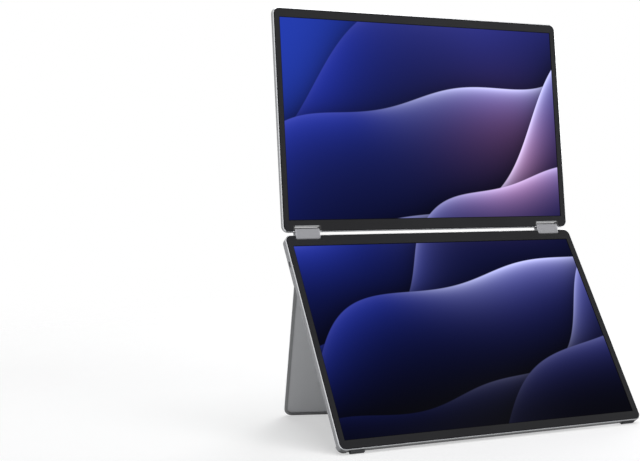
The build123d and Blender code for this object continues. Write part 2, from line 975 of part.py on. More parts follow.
driver_back = upper.inner_floor + boss_height
driver_front = driver_back + driver_thickness
driver_bottom = upper.away(driver_from_hinge)
driver_top = upper.away(driver_from_hinge + driver_height)
driver_screws_x = (-driver_width / 2 + boss_radius, driver_width / 2 - boss_radius)
driver_screw_y = driver_top - boss_radius


def driver_board():
    """The driver board on the floor of the upper cover."""
    half = driver_width / 2
    board = slab(-half, half, driver_bottom, driver_top, driver_back, driver_front)
    for x in driver_screws_x:
        radius = screw_radius + screw_hole_gap
        board = board - screw_post(x, driver_screw_y, radius, driver_back, driver_front)
    return board


driver_chip_shares = ((-0.28, 0.10), (0.0, 0.16), (0.26, 0.10))


def driver_chips():
    """Chips on the driver board, placed and sized as shares of its width."""
    middle = (driver_bottom + driver_top) / 2
    front = driver_front + driver_chip_height
    chips = []
    for place_share, size_share in driver_chip_shares:
        x = place_share * driver_width
        half = size_share * driver_width / 2
        chips.append(slab(x - half, x + half, middle - half, middle + half, driver_front, front))
    return chips


def upper_rear_cover():
    """The upper cover: a thinner tray with its two notches."""
    cover = cover_blank(upper) - cover_cavity(upper)
    cover = add_all(cover, leaf_bosses(upper))
    for x in driver_screws_x:
        cover = cover + screw_post(x, driver_screw_y, boss_radius, upper.inner_floor, driver_back)
        hole_back = driver_back - screw_bite
        cover = cover - screw_post(x, driver_screw_y, screw_radius + screw_hole_gap, hole_back, driver_back)
    cover = cut_all(cover, notches(upper, 0, -upper_thickness - overrun, overrun))
    return cut_all(cover, [bezel_seat(upper, rim)] + shaft_channels(upper) + leaf_screw_holes(upper))


# Where each frame stands, with the front bottom edge of the lower unit at the origin

def standing(lean_back, pivot_y, pivot_z, place):
    """Stands a flat frame up at a lean, with a point of it brought to a place."""
    return Pos(*place) * Rot(90 - lean_back, 0, 0) * Pos(0, -pivot_y, -pivot_z)


lower_place = standing(lower_lean, 0, 0, (0, 0, 0))
lower_axis = (lower_place * Pos(0, lower.away(axis_inset), lower.axis_level)).position
upper_axis = lower_axis + Vector(0, math.sin(link_rise), math.cos(link_rise)) * axis_distance
link_place = standing(link_lean, 0, 0, tuple(lower_axis))
upper_place = standing(upper_lean, upper.away(axis_inset), upper.axis_level, tuple(upper_axis))
stand_place = lower_place * stand_turn

foot_right_left = unit_width / 2 - foot_right_inset - foot_length
foot_left_left = -unit_width / 2 + foot_left_inset
thin_foot_back = recess_level + foot_setback

lower_pieces = {
    "lower_rear_cover": lower_rear_cover(),
    "lower_bezel": bezel(lower, bezel_edge_gap),
    "lower_display": display(lower),
    "lower_support_sheet": support_sheet(lower),
    "main_board": main_board(),
    "board_chips": board_chips(),
    "board_screws": [screw(x, y, board_front, board_thickness) for x, y in board_screws_xy],
    "mini_hdmi_socket": socket(hdmi_outline, hdmi_centre, hdmi_depth, hdmi_tongue_length),
    "key_board": key_board(),
    "key_switches": key_switches(),
    "power_button": push_key(power_outline, power_height),
    "select_key": push_key(select_outline, select_height),
    "jog_lever": jog_lever(),
    "jog_bracket": jog_bracket(),
    "lower_leaf_screws": leaf_screws(lower),
    "knuckle_screws": knuckle_screws(),
    "foot_left": foot(foot_left_left, thin_foot_back),
    "foot_right": foot(foot_right_left, foot_back),
}
for number, usb_place in enumerate(usb_heights, 1):
    lower_pieces[f"usb_c_socket_{number}"] = socket(usb_outline, usb_place, usb_depth, usb_tongue_length)
for side_name, knuckle_place in zip(("left", "right"), knuckle_places):
    lower_pieces[f"stand_knuckle_{side_name}"] = knuckle(knuckle_place)
    lower_pieces[f"stand_pin_{side_name}"] = stand_pin(knuckle_place, stand_pin_radius, 0)

upper_pieces = {
    "upper_rear_cover": upper_rear_cover(),
    "upper_bezel": bezel(upper, rim + bezel_edge_gap),
    "upper_display": display(upper),
    "upper_support_sheet": support_sheet(upper),
    "driver_board": driver_board(),
    "driver_chips": driver_chips(),
    "driver_screws": [screw(x, driver_screw_y, driver_front, driver_thickness) for x in driver_screws_x],
    "upper_leaf_screws": leaf_screws(upper),
}

link_pieces = {}
for side_name, lower_leaf in zip(("left", "right"), both_sides(hinge_leaf(lower))):
    lower_pieces[f"lower_hinge_leaf_{side_name}"] = lower_leaf
for side_name, upper_leaf in zip(("left", "right"), both_sides(hinge_leaf(upper))):
    upper_pieces[f"upper_hinge_leaf_{side_name}"] = upper_leaf
right_link_pieces = {
    "hinge_link": link_block(),
    "hinge_link_cap": link_cap(),
    "lower_pinion": gear(0, 0, pinion_bore(link_lean - lower_lean)),
    "lower_idler": gear(idler_shares[0], half_pitch_share, idler_bore()),
    "upper_idler": gear(idler_shares[1], 0, idler_bore()),
    "upper_pinion": gear(1, half_pitch_share, pinion_bore(link_lean - upper_lean)),
}
for name, right_piece in right_link_pieces.items():
    for side_name, piece in zip(("left", "right"), both_sides(right_piece)):
        link_pieces[f"{name}_{side_name}"] = piece

stand_pieces = {
    "kickstand_plate": kickstand_plate(),
    "kickstand_strip": kickstand_strip(),
}

# Everything stands up, and the origin goes to the middle of the footprint, on the table
groups = (
    (lower_place, lower_pieces),
    (link_place, link_pieces),
    (upper_place, upper_pieces),
    (stand_place, stand_pieces),
)
standing_pieces = {}
for place, pieces in groups:
    for name, shape in pieces.items():
        solids = shape if isinstance(shape, list) else [shape]
        moved = [place * solid for one in solids for solid in one.solids()]
        standing_pieces[name] = moved[0] if len(moved) == 1 else Compound(children=moved)

boxes = [shape.bounding_box() for shape in standing_pieces.values()]
middle_x = (min(box.min.X for box in boxes) + max(box.max.X for box in boxes)) / 2
middle_y = (min(box.min.Y for box in boxes) + max(box.max.Y for box in boxes)) / 2
to_origin = Pos(-middle_x, -middle_y, -min(box.min.Z for box in boxes))

os.makedirs("parts", exist_ok=True)
for name, shape in standing_pieces.items():
    export_step(to_origin * shape, f"parts/{name}.step")
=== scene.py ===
import math

import bpy
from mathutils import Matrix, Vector


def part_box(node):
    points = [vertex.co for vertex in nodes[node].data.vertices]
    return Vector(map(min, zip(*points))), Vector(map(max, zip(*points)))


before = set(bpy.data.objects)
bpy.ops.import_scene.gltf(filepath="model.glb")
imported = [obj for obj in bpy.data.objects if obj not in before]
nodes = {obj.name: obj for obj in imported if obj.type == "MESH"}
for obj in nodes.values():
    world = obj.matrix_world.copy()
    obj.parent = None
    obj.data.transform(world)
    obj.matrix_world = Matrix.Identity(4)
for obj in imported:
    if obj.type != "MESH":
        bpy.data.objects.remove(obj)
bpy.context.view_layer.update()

MM = 0.001
SIDES = ("left", "right")

# The camera, found from the corners of the two screens in the photo.
camera_place = Vector((-0.593996, -0.976400, 0.229337))
camera_turn = math.radians(-25.218)
camera_drop = math.radians(2.490)
camera_lens = 68.10
camera_sensor = 36.0

# The round of the units' corners, and how far the bezels lie inside the covers' outline.
unit_corner = 6.2 * MM
bezel_inset = 0.75 * MM

# How much of each screen's edge lies under its bezel.
panel_margin = 3.0 * MM

# How rich a noise is in detail, and the span that most of it stays in.
plain_detail = 2.0
rich_detail = 3.0
noise_span = (0.2, 0.8)

# Rays that look for the softened edges, the painted edge highlights and the painted shade in gaps.
soft_samples = 4
edge_samples = 8
gap_shade_samples = 8

# The sockets of a mix node that take and give colours.
mix_first = 6
mix_second = 7
mix_result = 2


def tone(code, level=1.0):
    """A colour as it looks on screen, turned into the light values that a shader takes."""
    parts = [int(code[i:i + 2], 16) / 255 for i in (1, 3, 5)]
    light = [p / 12.92 if p <= 0.04045 else ((p + 0.055) / 1.055) ** 2.4 for p in parts]
    return (light[0] * level, light[1] * level, light[2] * level, 1.0)


def light_tone(code, level=1.0):
    """The same colour as three values, for colours that are scaled and added."""
    return tone(code, level)[:3]


class Panel:
    """The directions of one unit, taken from the front of its screen: across it, up it and out of it."""

    def __init__(self, screen):
        front_faces = [face for face in nodes[screen].data.polygons if face.normal.y < 0.0]
        self.out = max(front_faces, key=lambda face: face.area).normal.copy()
        self.across = Vector((1.0, 0.0, 0.0))
        self.up = self.out.cross(self.across)

    def span(self, name, direction):
        """Where a node begins and ends along a direction."""
        places = [v.co.dot(direction) for v in nodes[name].data.vertices]
        return min(places), max(places)


class Shader:
    """A material being made, with short calls for the nodes that it needs."""

    def __init__(self, name):
        self.material = bpy.data.materials.new(name)
        self.material.use_nodes = True
        self.tree = self.material.node_tree
        self.surface = self.tree.nodes["Principled BSDF"]
        self.place = self.node("ShaderNodeTexCoord").outputs["Object"]

    def node(self, kind, **settings):
        """A new node with its settings."""
        made = self.tree.nodes.new(kind)
        for key, value in settings.items():
            setattr(made, key, value)
        return made

    def feed(self, socket, value):
        """Links a value from another node, or sets a plain one on the socket."""
        if isinstance(value, bpy.types.NodeSocket):
            self.tree.links.new(value, socket)
        else:
            socket.default_value = value

    def set(self, **inputs):
        """Sets inputs of the surface by name, with _ for a space."""
        for key, value in inputs.items():
            self.feed(self.surface.inputs[key.replace("_", " ")], value)

    def roughen(self, grain, rough, spread):
        """Sets a roughness that goes up and down with a grain."""
        self.set(Roughness=self.step(grain, *noise_span, rough - spread, rough + spread))

    def maths(self, operation, *values):
        """The result of one operation on one to three values."""
        made = self.node("ShaderNodeMath", operation=operation)
        for socket, value in zip(made.inputs, values):
            self.feed(socket, value)
        return made.outputs[0]

    def times(self, first, second):
        return self.maths("MULTIPLY", first, second)

    def plus(self, first, second):
        return self.maths("ADD", first, second)

    def minus(self, first, second):
        return self.maths("SUBTRACT", first, second)

    def larger(self, first, second):
        return self.maths("MAXIMUM", first, second)

    def squared(self, value):
        return self.maths("POWER", value, 2.0)

    def line(self, value, slope, start):
        """A value times a slope, from a start."""
        return self.maths("MULTIPLY_ADD", value, slope, start)

    def away(self, value, middle):
        """How far a value lies from a middle, to either side."""
        return self.maths("ABSOLUTE", self.minus(value, middle))

    def fading(self, value, depth):
        """A share that falls from one as a value grows, quicker for a small depth."""
        return self.maths("EXPONENT", self.times(value, -1.0 / depth))

    def step(self, value, low, high, low_out=0.0, high_out=1.0):
        """A smooth change from one value to another between two places."""
        made = self.node("ShaderNodeMapRange", interpolation_type="SMOOTHSTEP")
        for socket, number in zip(made.inputs, (value, low, high, low_out, high_out)):
            self.feed(socket, number)
        return made.outputs[0]

    def near_high(self, value, limit, band):
        """One down to the band's first distance below a limit, and zero past its second."""
        near, far = band
        return self.step(value, limit - far, limit - near)

    def near_low(self, value, limit, band, within=1.0, past=0.0):
        """One value up to the band's first distance above a limit, and another past its second."""
        near, far = band
        return self.step(value, limit + near, limit + far, within, past)

    def blend(self, share, first, second):
        """A change from one value to another as a share goes from zero to one."""
        return self.step(share, 0.0, 1.0, first, second)

    def vectors(self, operation, first, second):
        """The outputs of one operation on two vectors."""
        made = self.node("ShaderNodeVectorMath", operation=operation)
        self.feed(made.inputs[0], first)
        self.feed(made.inputs[1], second)
        return made.outputs

    def along(self, direction):
        """How far the point lies along a direction."""
        return self.vectors("DOT_PRODUCT", self.place, direction)["Value"]

    def added(self, first, second):
        """The sum of two colours."""
        return self.vectors("ADD", first, second)[0]

    def scaled(self, colour, amount):
        """A colour made lighter or darker by a value."""
        made = self.node("ShaderNodeVectorMath", operation="SCALE")
        self.feed(made.inputs[0], colour)
        self.feed(made.inputs["Scale"], amount)
        return made.outputs[0]

    def shaded(self, colour, share, level):
        """A colour brought to a level of its brightness where a share is one."""
        return self.scaled(colour, self.blend(share, 1.0, level))

    def mix(self, share, first, second):
        """A colour between two others."""
        made = self.node("ShaderNodeMix", data_type="RGBA")
        self.feed(made.inputs["Factor"], share)
        self.feed(made.inputs[mix_first], first)
        self.feed(made.inputs[mix_second], second)
        return made.outputs[mix_result]

    def texture(self, kind, inputs, **settings):
        """The outputs of a texture that lies fixed in the part."""
        made = self.node(kind, **settings)
        for key, value in {"Vector": self.place, **inputs}.items():
            self.feed(made.inputs[key], value)
        return made.outputs

    def noise(self, scale, detail=plain_detail):
        """Noise of a scale per metre."""
        return self.texture("ShaderNodeTexNoise", {"Scale": scale, "Detail": detail})[0]

    def drawn_noise(self, scale, detail, stretch):
        """Noise with a scale of its own along each axis, so that it is drawn out along some."""
        mapping = self.node("ShaderNodeMapping")
        self.feed(mapping.inputs["Vector"], self.place)
        self.feed(mapping.inputs["Scale"], stretch)
        inputs = {"Vector": mapping.outputs[0], "Scale": scale, "Detail": detail}
        return self.texture("ShaderNodeTexNoise", inputs)[0]

    def softened(self, radius, samples):
        """The normal of the surface as if its edges were rounded."""
        made = self.node("ShaderNodeBevel", samples=samples)
        made.inputs["Radius"].default_value = radius
        return made.outputs[0]

    def bump(self, height, distance, strength, edge=None):
        """Raises the surface by a height, with its edges softened where a radius is given."""
        made = self.node("ShaderNodeBump")
        self.feed(made.inputs["Height"], height)
        made.inputs["Distance"].default_value = distance
        made.inputs["Strength"].default_value = strength
        if edge is not None:
            self.feed(made.inputs["Normal"], self.softened(edge, soft_samples))
        self.set(Normal=made.outputs[0])

    def put_on(self, *names):
        """Gives the material to nodes."""
        for name in names:
            materials = nodes[name].data.materials
            materials.clear()
            materials.append(self.material)


# How open a place is where the painted shade in a gap is darkest, and where it ends.
gap_shade_span = (0.45, 0.97)

# How well a rounded normal agrees with the flat one on an edge, and beside it.
edge_span = (0.90, 0.995)


def painted_gap_shade(shader, colour, reach, level):
    """A colour with painted shade in gaps and inner corners within a reach."""
    close = shader.node("ShaderNodeAmbientOcclusion", samples=gap_shade_samples)
    close.inputs["Distance"].default_value = reach
    return shader.scaled(colour, shader.step(close.outputs["AO"], *gap_shade_span, level, 1.0))


def along_edges(shader, width):
    """One along sharp edges, and zero on the faces past a width from them."""
    rounded = shader.softened(width, edge_samples)
    flat = shader.node("ShaderNodeNewGeometry").outputs["True Normal"]
    turn = shader.vectors("DOT_PRODUCT", rounded, flat)["Value"]
    return shader.step(turn, *edge_span, 1.0, 0.0)


# Blasted metal: its cloud of tone, its grain, and the painted shade in its gaps.
cloud_scale = 14.0
blast_scale = 2600.0
blast_span = (0.25, 0.75)
blast_share = 0.10
blast_spread = 0.05
blast_relief = 0.01 * MM
blast_strength = 0.5
blast_shade_reach = 2.5 * MM
blast_shade_level = 0.30


def blasted(shader, dark, light, rough, metal, edge=None, relief=blast_relief):
    """Makes a surface blasted and anodised metal, and gives its colour with painted shade in gaps, which
    the caller sets.
    """
    cloud = shader.noise(cloud_scale, rich_detail)
    fine = shader.noise(blast_scale)
    colour = shader.mix(cloud, tone(dark), tone(light))
    colour = shader.mix(shader.step(fine, *blast_span, 0.0, blast_share), colour, tone(light))
    shader.set(Metallic=metal)
    shader.roughen(fine, rough, blast_spread)
    shader.bump(fine, relief, blast_strength, edge)
    return painted_gap_shade(shader, colour, blast_shade_reach, blast_shade_level)


def make_blasted(name, names, dark, light, rough, metal, edge, relief=blast_relief):
    """Plain blasted pieces."""
    shader = Shader(name)
    shader.set(Base_Color=blasted(shader, dark, light, rough, metal, edge, relief))
    shader.put_on(*names)


def past_outline(shader, panel, name, corner):
    """How far a point lies outside a node's outline with round corners, below zero inside it."""
    squares = []
    for direction in (panel.across, panel.up):
        low, high = panel.span(name, direction)
        away = shader.away(shader.along(direction), (low + high) / 2)
        past = shader.larger(shader.minus(away, (high - low) / 2 - corner), 0.0)
        squares.append(shader.squared(past))
    return shader.minus(shader.maths("SQRT", shader.plus(*squares)), corner)


# Bands of the covers, each whole up to one distance and gone at the next: the bevel below the front,
# the slant above the back, the rim and the walls inside the outline, the ends of the walls at the
# bottom and the top, and the ends of the hinge links.
bevel_band = (0.50 * MM, 0.62 * MM)
slant_band = (1.0 * MM, 1.2 * MM)
rim_band = (1.0 * MM, 1.1 * MM)
wall_band = (0.10 * MM, 0.30 * MM)
end_band = (0.8 * MM, 3.5 * MM)
link_end_band = (-0.1 * MM, 0.2 * MM)

# The finish of the covers and of the bevel cut round them; the painted shade on the lip inside the bevel,
# and its painted black shadow beside the links.
cover_rough = 0.46
cover_metal = 0.15
bevel_tone = light_tone("#d2d3d6")
bevel_rough = 0.24
bevel_metal = 0.9
lip_shadow_tone = tone("#1a1a1c")
lip_shade_level = 0.48


def beside_links(shader, panel):
    """One past the ends of both hinge links, zero where a link lies."""
    across = shader.along(panel.across)
    past = 1.0
    for side in SIDES:
        low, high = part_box("hinge_link_" + side)
        away = shader.away(across, (low[0] + high[0]) / 2)
        past = shader.times(past, shader.near_high(away, (high[0] - low[0]) / 2, link_end_band))
    return past


def make_cover(name, panel, dark, light, wall_light_level, slant_light_level, under_shade_level, over_shade_level):
    """A unit's cover: blasted walls and back, with a bright cut bevel round the front.

    The levels are painted light and shade: they set how bright the walls, the slant round the back
    and the walls under and over the unit are. Along the bottom the bevel gets painted shade too, but
    less than the wall under it. The lip inside the bevel gets painted shade where a hinge link lies,
    and a painted black shadow beside the links.
    """
    shader = Shader(name)
    colour = blasted(shader, dark, light, cover_rough, cover_metal)
    outside = past_outline(shader, panel, name, unit_corner)
    bottom, top = panel.span(name, panel.up)
    back, front = panel.span(name, panel.out)
    height = shader.along(panel.up)
    depth = shader.along(panel.out)
    lowest = shader.near_low(height, bottom, end_band)
    highest = shader.near_high(height, top, end_band)
    near_front = shader.near_high(depth, front, bevel_band)
    near_back = shader.near_low(depth, back, slant_band)
    rim = shader.near_high(outside, 0.0, rim_band)
    wall = shader.near_high(outside, 0.0, wall_band)
    bevel = shader.times(near_front, rim)
    lip = shader.minus(near_front, bevel)

    # Painted light and shade on the walls, their ends under and over the unit, the lip and the back slant.
    colour = shader.shaded(colour, wall, wall_light_level)
    colour = shader.shaded(colour, shader.times(lowest, wall), under_shade_level)
    colour = shader.shaded(colour, shader.times(highest, wall), over_shade_level)
    colour = shader.shaded(colour, lip, lip_shade_level)
    colour = shader.shaded(colour, shader.times(near_back, rim), slant_light_level)
    colour = shader.mix(shader.times(lip, beside_links(shader, panel)), colour, lip_shadow_tone)
    # The bevel along the bottom takes part of the painted shade under the unit.
    bright = shader.shaded(bevel_tone, lowest, math.sqrt(under_shade_level))
    shader.set(Base_Color=shader.mix(bevel, colour, bright))
    shader.set(Roughness=shader.blend(bevel, cover_rough, bevel_rough))
    shader.set(Metallic=shader.blend(bevel, cover_metal, bevel_metal))
    shader.put_on(name)


# The bezels: the mould grain of their plastic, and the dark line round their edge.
bezel_cloud_scale = 20.0
bezel_scale = 3200.0
bezel_rough = 0.55
bezel_spread = 0.07
bezel_gloss = 0.10
bezel_relief = 0.01 * MM
bezel_strength = 0.5
bezel_edge_band = (0.8 * MM, 1.0 * MM)
bezel_edge_tone = tone("#131417")


def make_bezel(name, panel, dark, light):
    """A unit's bezel: matt dark plastic with a darker line round its edge."""
    shader = Shader(name)
    fine = shader.noise(bezel_scale)
    cloud = shader.noise(bezel_cloud_scale)
    colour = shader.mix(shader.times(cloud, fine), tone(dark), tone(light))
    outside = past_outline(shader, panel, name, unit_corner - bezel_inset)
    edge = shader.near_high(outside, 0.0, bezel_edge_band)
    shader.set(Base_Color=shader.mix(edge, colour, bezel_edge_tone))
    shader.set(Specular_IOR_Level=bezel_gloss)
    shader.roughen(fine, bezel_rough, bezel_spread)
    shader.bump(fine, bezel_relief, bezel_strength)
    shader.put_on(name)


# The finish of the stand and its knuckles. The stand is the covers' metal, and its own tone is
# painted light and shade, as theirs are.
stand_finish = {"dark": "#b0b1b3", "light": "#b9babc", "rough": 0.46, "metal": 0.2, "edge": 0.25 * MM}

# Bands of the stand, from the floor of its inner pocket and from its outer face, and their levels:
# painted light that lifts the pocket floor, and a darker border round it.
pocket_band = (0.3 * MM, 0.6 * MM)
pocket_light_level = 1.6
border_band = (-0.5 * MM, -0.2 * MM)
border_level = 0.50
outer_band = (0.6 * MM, 1.0 * MM)

# The painted highlight along the edges of the stand and of the hinge links.
stand_highlight_width = 2.2 * MM
link_highlight_width = 1.6 * MM
edge_highlight_level = 1.7


def make_stand(name):
    """The stand: blasted metal with a painted-light pocket, a darker border and painted edge highlights.
    """
    shader = Shader(name)
    colour = blasted(shader, **stand_finish)
    faces = sorted(nodes[name].data.polygons, key=lambda face: face.area, reverse=True)
    outer_face = next(face for face in faces if face.normal.y > 0.0)
    pocket_floor = next(face for face in faces if face.normal.y < 0.0)
    outward = outer_face.normal
    depth = shader.along(outward)
    floor_depth = pocket_floor.center.dot(outward)
    pocket = shader.near_low(depth, floor_depth, pocket_band, pocket_light_level, 1.0)
    border = shader.near_low(depth, floor_depth, border_band, border_level, 1.0)
    colour = shader.scaled(colour, shader.times(pocket, border))
    outer = shader.near_high(depth, outer_face.center.dot(outward), outer_band)
    edges = shader.times(along_edges(shader, stand_highlight_width), outer)
    shader.set(Base_Color=shader.shaded(colour, edges, edge_highlight_level))
    shader.put_on(name)


def make_links(name, names, dark, light, rough, metal, edge):
    """The hinge links and their caps: blasted metal with painted highlights along the edges."""
    shader = Shader(name)
    colour = blasted(shader, dark, light, rough, metal, edge)
    edges = along_edges(shader, link_highlight_width)
    shader.set(Base_Color=shader.shaded(colour, edges, edge_highlight_level))
    shader.put_on(*names)


# The waves of the picture, from the farthest: level, swing, pace, start, depth of glow, and rim.
# Its lengths are in screen heights, across from the middle of the screens and up from the gap's.
waves = (
    (0.92, 0.17, 2.1, 0.50, 0.323, 0.50),
    (0.60, 0.20, 2.5, 2.35, 0.169, 1.00),
    (0.26, 0.22, 2.2, 4.30, 0.154, 1.00),
    (-0.08, 0.17, 3.0, 0.70, 0.108, 0.60),
    (-0.34, 0.20, 2.4, 2.90, 0.169, 1.00),
    (-0.68, 0.17, 2.9, 5.00, 0.123, 0.50),
    (-1.00, 0.15, 2.3, 1.20, 0.123, 0.25),
)
wave_slope = math.radians(27.0)
half_gap = 0.06
crest_blur = 0.006

# The ripple on each wave, as shares of its swing, pace and start.
ripple_swing = 0.3
ripple_pace = 2.3
ripple_start = 2.0

# How far a wave's rim, sheen and shadow reach from its crest, and the strengths of these and its glow.
rim_depth = 0.020
rim_strength = 0.75
sheen_depth = 0.075
sheen_strength = 0.30
cast_depth = 0.10
cast_strength = 0.55
glow_strength = 0.75

# Where the light of the picture changes: blue to one side, pale to the other, warm at one place and
# dim at the foot.
blue_span = (-0.75, 0.25)
pale_span = (-0.45, 0.45)
foot_span = (-1.05, -0.15)
foot_level = 0.05
rim_least = 0.05
warm_across = 0.5
warm_height = 0.35
warm_spread = 0.10

# The colours of the picture, and the dark line between it and the bezel.
glow_blue = light_tone("#2238c0")
glow_violet = light_tone("#4a50d8", 0.75)
glow_warm = light_tone("#e0824e", 0.75)
deep_blue = light_tone("#080d38")
rim_white = light_tone("#e0e4ff")
far_blue = light_tone("#1f38a8")
far_blue_gain = 0.75
far_blue_least = 0.35
far_violet = light_tone("#6a5fd8", 0.3)
border_tone = tone("#060608")
picture_border_band = (0.4 * MM, 0.7 * MM)

# The glass over the picture.
glass_tone = tone("#030304")
glass_rough = 0.16
glass_gloss = 0.015


class Picture:
    """The layered waves that run over both screens, with the upper on row 0 and the lower on row -1."""

    def __init__(self, shader, panel, name, row):
        low, high = panel.span(name, panel.up)
        tall = high - low
        middle = sum(panel.span(name, panel.across)) / 2
        across = shader.maths("DIVIDE", shader.minus(shader.along(panel.across), middle), tall)
        height = shader.maths("DIVIDE", shader.minus(shader.along(panel.up), low), tall)
        height = shader.plus(height, row + half_gap * (2 * row + 1))
        self.shader = shader
        self.run = shader.line(height, math.sin(wave_slope), shader.times(across, math.cos(wave_slope)))
        self.rise = shader.line(across, -math.sin(wave_slope), shader.times(height, math.cos(wave_slope)))
        self.set_lights(across, height)

    def set_lights(self, across, height):
        """Sets the colours of the waves' glow and depth, the light on their rims and the colour behind."""
        shader = self.shader
        blue_side = shader.step(across, *blue_span, 1.0, 0.0)
        pale_side = shader.step(across, *pale_span)
        raised = shader.step(height, *foot_span, foot_level, 1.0)
        off_across = shader.squared(shader.away(across, warm_across))
        off_height = shader.squared(shader.away(height, warm_height))
        warmth = shader.fading(shader.plus(off_across, off_height), warm_spread)
        glow = shader.scaled(glow_blue, blue_side)
        glow = shader.added(glow, shader.scaled(glow_violet, pale_side))
        glow = shader.added(glow, shader.scaled(glow_warm, warmth))
        self.glow = shader.scaled(glow, raised)
        self.deep = shader.scaled(deep_blue, raised)
        self.rim_light = shader.times(shader.line(pale_side, 1.0 - rim_least, rim_least), raised)
        behind = shader.scaled(far_blue, shader.line(blue_side, far_blue_gain, far_blue_least))
        self.colour = shader.added(behind, shader.scaled(far_violet, pale_side))

    def add_wave(self, level, swing, pace, start, glow_depth, rim):
        """Lays a wave over the picture, with its shadow on what lies behind."""
        shader = self.shader
        slow = shader.maths("SINE", shader.line(self.run, pace, start))
        quick = shader.maths("SINE", shader.line(self.run, ripple_pace * pace, ripple_start * start))
        crest = shader.line(slow, swing, level)
        crest = shader.line(quick, ripple_swing * swing, crest)
        below = shader.minus(crest, self.rise)
        depth = shader.larger(below, 0.0)
        over = shader.larger(shader.minus(self.rise, crest), 0.0)
        cast = shader.line(shader.fading(over, cast_depth), -cast_strength, 1.0)
        behind = shader.scaled(self.colour, cast)
        glow = shader.times(shader.fading(depth, glow_depth), glow_strength)
        wave = shader.added(self.deep, shader.scaled(self.glow, glow))
        sheen = shader.times(shader.fading(depth, sheen_depth), sheen_strength)
        edge = shader.line(shader.fading(depth, rim_depth), rim_strength, sheen)
        shine = shader.times(shader.times(edge, rim), self.rim_light)
        wave = shader.added(wave, shader.scaled(rim_white, shine))
        self.colour = shader.mix(shader.step(below, 0.0, crest_blur), behind, wave)


def make_screen(name, panel, row):
    """A lit screen behind dark glass, with a dark line between its picture and the bezel."""
    shader = Shader(name)
    picture = Picture(shader, panel, name, row)
    for wave in waves:
        picture.add_wave(*wave)
    border = 0.0
    for direction in (panel.across, panel.up):
        low, high = panel.span(name, direction)
        away = shader.away(shader.along(direction), (low + high) / 2)
        edge = (high - low) / 2 - panel_margin
        border = shader.larger(border, shader.near_high(away, edge, picture_border_band))
    shader.set(Base_Color=glass_tone, Roughness=glass_rough, Specular_IOR_Level=glass_gloss)
    shader.set(Emission_Color=shader.mix(border, picture.colour, border_tone), Emission_Strength=1.0)
    shader.put_on(name)


# Turned and cut metal: a grain drawn out across the part, and painted shade inside hollows.
drawn_scale = 900.0
drawn_stretch = (0.06, 1.0, 1.0)
drawn_spread = 0.07
drawn_relief = 0.01 * MM
drawn_strength = 0.4
turned_metal = 0.85
hollow_shade_level = 0.02


def make_turned(name, names, dark, light, rough, edge=None, hollow_shade_reach=None):
    """Plain turned or cut metal with a drawn grain, and painted shade in hollows where a reach is given.
    """
    shader = Shader(name)
    drawn = shader.drawn_noise(drawn_scale, rich_detail, drawn_stretch)
    colour = shader.mix(drawn, tone(dark), tone(light))
    if hollow_shade_reach is not None:
        colour = painted_gap_shade(shader, colour, hollow_shade_reach, hollow_shade_level)
    shader.set(Base_Color=colour, Metallic=turned_metal)
    shader.roughen(drawn, rough, drawn_spread)
    shader.bump(drawn, drawn_relief, drawn_strength, edge)
    shader.put_on(*names)


# Plastic and rubber: their mould grain and gloss.
mould_scale = 1500.0
mould_spread = 0.06
mould_relief = 0.02 * MM
mould_strength = 0.6
plastic_gloss = 0.3
rubber_finish = {"rough": 0.8, "scale": 900.0, "relief": 0.06 * MM, "edge": 0.2 * MM}


def make_plastic(name, names, dark, light, rough, scale=mould_scale, relief=mould_relief, edge=None):
    """Moulded plastic or rubber with a fine mould grain."""
    shader = Shader(name)
    fine = shader.noise(scale, rich_detail)
    shader.set(Base_Color=shader.mix(fine, tone(dark), tone(light)), Specular_IOR_Level=plastic_gloss)
    shader.roughen(fine, rough, mould_spread)
    shader.bump(fine, relief, mould_strength, edge)
    shader.put_on(*names)


# The circuit boards: lacquer in fields between tracks, and small pads.
board_tracks = {
    "Color1": tone("#0e4a2c"),
    "Color2": tone("#125a36"),
    "Mortar": tone("#2a7d52"),
    "Scale": 160.0,
    "Mortar Size": 0.03,
}
track_offset = 0.37
track_squash = 0.7
pad_scale = 260.0
pad_span = (0.16, 0.22)
pad_tone = tone("#b59a58")
lacquer_rough = 0.42
pad_rough = 0.25


def make_board(name, names):
    """Circuit boards: green lacquer over tracks, with small bright pads."""
    shader = Shader(name)
    tracks = shader.texture("ShaderNodeTexBrick", board_tracks, offset=track_offset, squash=track_squash)
    dots = shader.texture("ShaderNodeTexVoronoi", {"Scale": pad_scale})
    pads = shader.step(dots["Distance"], *pad_span, 1.0, 0.0)
    shader.set(Base_Color=shader.mix(pads, tracks["Color"], pad_tone), Metallic=pads)
    shader.set(Roughness=shader.blend(pads, lacquer_rough, pad_rough))
    shader.put_on(*names)


def on_both_sides(*parts):
    """The names of pieces that are there once on each side."""
    return [part + "_" + side for side in SIDES for part in parts]


upper_panel = Panel("upper_display")
lower_panel = Panel("lower_display")

# Both covers are one metal: their two tones, and the levels of their walls, slant and ends, are painted
# light and shade.
make_cover("upper_rear_cover", upper_panel, dark="#e0e1e3", light="#e6e7e9",
           wall_light_level=0.62, slant_light_level=0.50, under_shade_level=1.0, over_shade_level=1.0)
make_cover("lower_rear_cover", lower_panel, dark="#96979a", light="#9fa0a3",
           wall_light_level=1.25, slant_light_level=1.25, under_shade_level=0.35, over_shade_level=0.20)
make_bezel("upper_bezel", upper_panel, dark="#2a2a2c", light="#38383b")
make_bezel("lower_bezel", lower_panel, dark="#202022", light="#2d2d30")
make_screen("upper_display", upper_panel, row=0)
make_screen("lower_display", lower_panel, row=-1)

